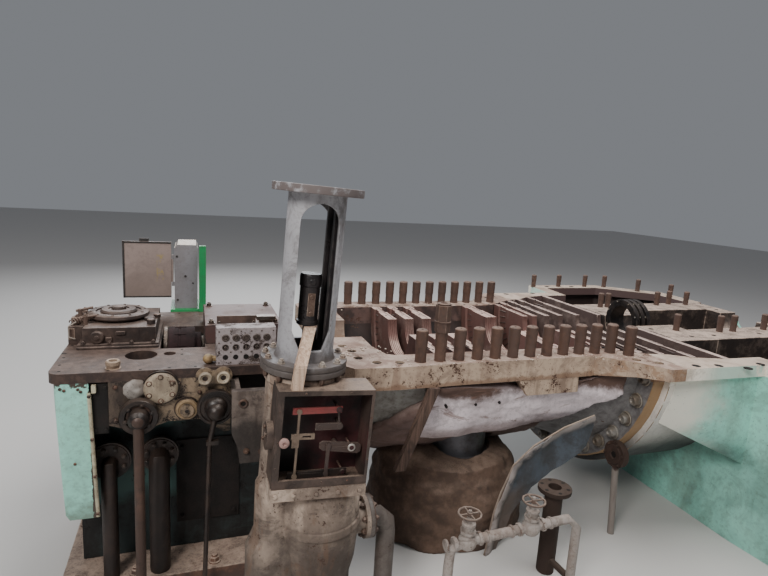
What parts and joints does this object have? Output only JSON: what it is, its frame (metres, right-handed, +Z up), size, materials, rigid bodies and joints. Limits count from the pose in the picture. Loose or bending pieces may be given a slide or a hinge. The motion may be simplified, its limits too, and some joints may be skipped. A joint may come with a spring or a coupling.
{
  "type": "opened steam turbine lower half",
  "caption": "Lower half of an opened condensing steam turbine: bearing pedestal, stop valve stand, studded casing with split diaphragms, and wide exhaust hood.",
  "frame": {"origin": "on the ground under the front bearing pedestal, on the vertical plane of the turbine axis", "axes": "+X along the turbine axis towards the exhaust end, -Y towards the side of the stop valve stand, +Z up; the joint plane is 1.25 m up"},
  "size_m": [5.51, 3.1, 2.2043],
  "materials": {
    "rusty_iron": "rusty cast surface with dust",
    "oily_iron": "dark cast surface with old oil",
    "dusty_iron": "cleaned joint faces with light rust and dust",
    "bare_steel": "worn machined steel",
    "pale_paint": "worn pale grey paint",
    "grey_paint": "dusty grey paint",
    "mint_paint": "stained mint green paint",
    "green_paint": "green enamel",
    "red_primer": "dark red primer and rust",
    "timber": "rough sawn timber",
    "lagging": "plastered mineral wool lagging",
    "brown_lagging": "old plastered lagging, brown with oil and dust"
  },
  "bodies": {
    "turbine": {"pedestal_bedplate": "rusty_iron", "pedestal_sump": "oily_iron", "pedestal_housing": "oily_iron", "shaft_coupling": "red_primer", "pedestal_top_plate": "dusty_iron", "corner_panel": "mint_paint", "oil_block": "dusty_iron", "drain_elbow": "oily_iron", "ball_actuator": "oily_iron", "oil_pipe_left": "rusty_iron", "oil_pipe_right": "rusty_iron", "port_block": "pale_paint", "front_bearing_cap": "red_primer", "governor_casing": "rusty_iron", "panel_box_bracket": "green_paint", "panel_box": "grey_paint", "linkage_box": "dusty_iron", "actuator_yoke": "pale_paint", "timber_baulk": "timber", "valve_body": "pale_paint", "outlet_elbow": "grey_paint", "stand_arm": "rusty_iron", "casing_shell": "rusty_iron", "casing_near_flange": "dusty_iron", "casing_far_flange": "dusty_iron", "diaphragm_1": "red_primer", "diaphragm_2": "red_primer", "diaphragm_3": "red_primer", "diaphragm_4": "red_primer", "diaphragm_5": "red_primer", "diaphragm_6": "red_primer", "diaphragm_7": "oily_iron", "diaphragm_8": "oily_iron", "diaphragm_9": "oily_iron", "exhaust_drum": "pale_paint", "exhaust_end_wall": "oily_iron", "exhaust_hood": "mint_paint", "hood_near_flange": "dusty_iron", "hood_far_flange": "dusty_iron", "gland_saddle": "dusty_iron", "rear_bearing_housing": "dusty_iron", "gland_rings": "oily_iron", "lagging_blanket": "lagging", "lagging_board": "timber", "lagging_sheet": "grey_paint", "extraction_bellows": "bare_steel", "belly_lagging": "brown_lagging", "pipe_lagging": "brown_lagging", "drain_header": "grey_paint", "open_flange_stub": "rusty_iron", "support_strut": "rusty_iron"},
    "panel_door": {"panel_box_door": "grey_paint"},
    "spindle": {"valve_spindle": "bare_steel"},
    "upper_lever": {"upper_lever": "red_primer"},
    "link_rod": {"link_rod": "bare_steel"},
    "lower_lever": {"lower_lever": "bare_steel"},
    "slotted_link": {"slotted_link": "bare_steel"},
    "right_lever": {"right_lever": "bare_steel"},
    "handwheel_1": {"handwheel_1": "rusty_iron"},
    "handwheel_2": {"handwheel_2": "rusty_iron"}
  },
  "joints": [
    {"name": "panel_door_hinge", "type": "hinge", "parent": "turbine", "child": "panel_door", "pos_m": [-0.044, 0.596, 1.54], "axis": [0, 0, 1], "range_deg": [-90, 30]},
    {"name": "spindle_slide", "type": "slide", "parent": "turbine", "child": "spindle", "axis": [0.0506, 0, 0.9987], "range_m": [-0.03, 0.06]},
    {"name": "upper_lever_pivot", "type": "hinge", "parent": "turbine", "child": "upper_lever", "pos_m": [0.705, -1.241, 1.216], "axis": [0, 1, 0], "range_deg": [0, 8]},
    {"name": "link_rod_slide", "type": "slide", "parent": "turbine", "child": "link_rod", "axis": [0.0506, 0, 0.9987], "range_m": [0, 0.0252]},
    {"name": "lower_lever_pivot", "type": "hinge", "parent": "turbine", "child": "lower_lever", "pos_m": [0.7318, -1.241, 0.9142], "axis": [0, 1, 0], "range_deg": [0, 6.5]},
    {"name": "slotted_link_slide", "type": "slide", "parent": "turbine", "child": "slotted_link", "axis": [0.0506, 0, 0.9987], "range_m": [0, 0.009]},
    {"name": "right_lever_pivot", "type": "hinge", "parent": "turbine", "child": "right_lever", "pos_m": [0.7696, -1.241, 1.0285], "axis": [0, 1, 0], "range_deg": [0, 4.63]},
    {"name": "handwheel_1_spin", "type": "hinge", "parent": "turbine", "child": "handwheel_1", "pos_m": [1.417, -1.25, 0.597], "axis": [0, 0, 1], "continuous": true},
    {"name": "handwheel_2_spin", "type": "hinge", "parent": "turbine", "child": "handwheel_2", "pos_m": [1.797, -1.25, 0.616], "axis": [0, 0, 1], "continuous": true}
  ],
  "couplings": [
    {"joint": "link_rod_slide", "follows": "upper_lever_pivot", "m_per_rad": 0.18},
    {"joint": "lower_lever_pivot", "follows": "upper_lever_pivot", "ratio": 0.8108},
    {"joint": "slotted_link_slide", "follows": "upper_lever_pivot", "m_per_rad": 0.06405},
    {"joint": "right_lever_pivot", "follows": "upper_lever_pivot", "ratio": 0.577}
  ]
}
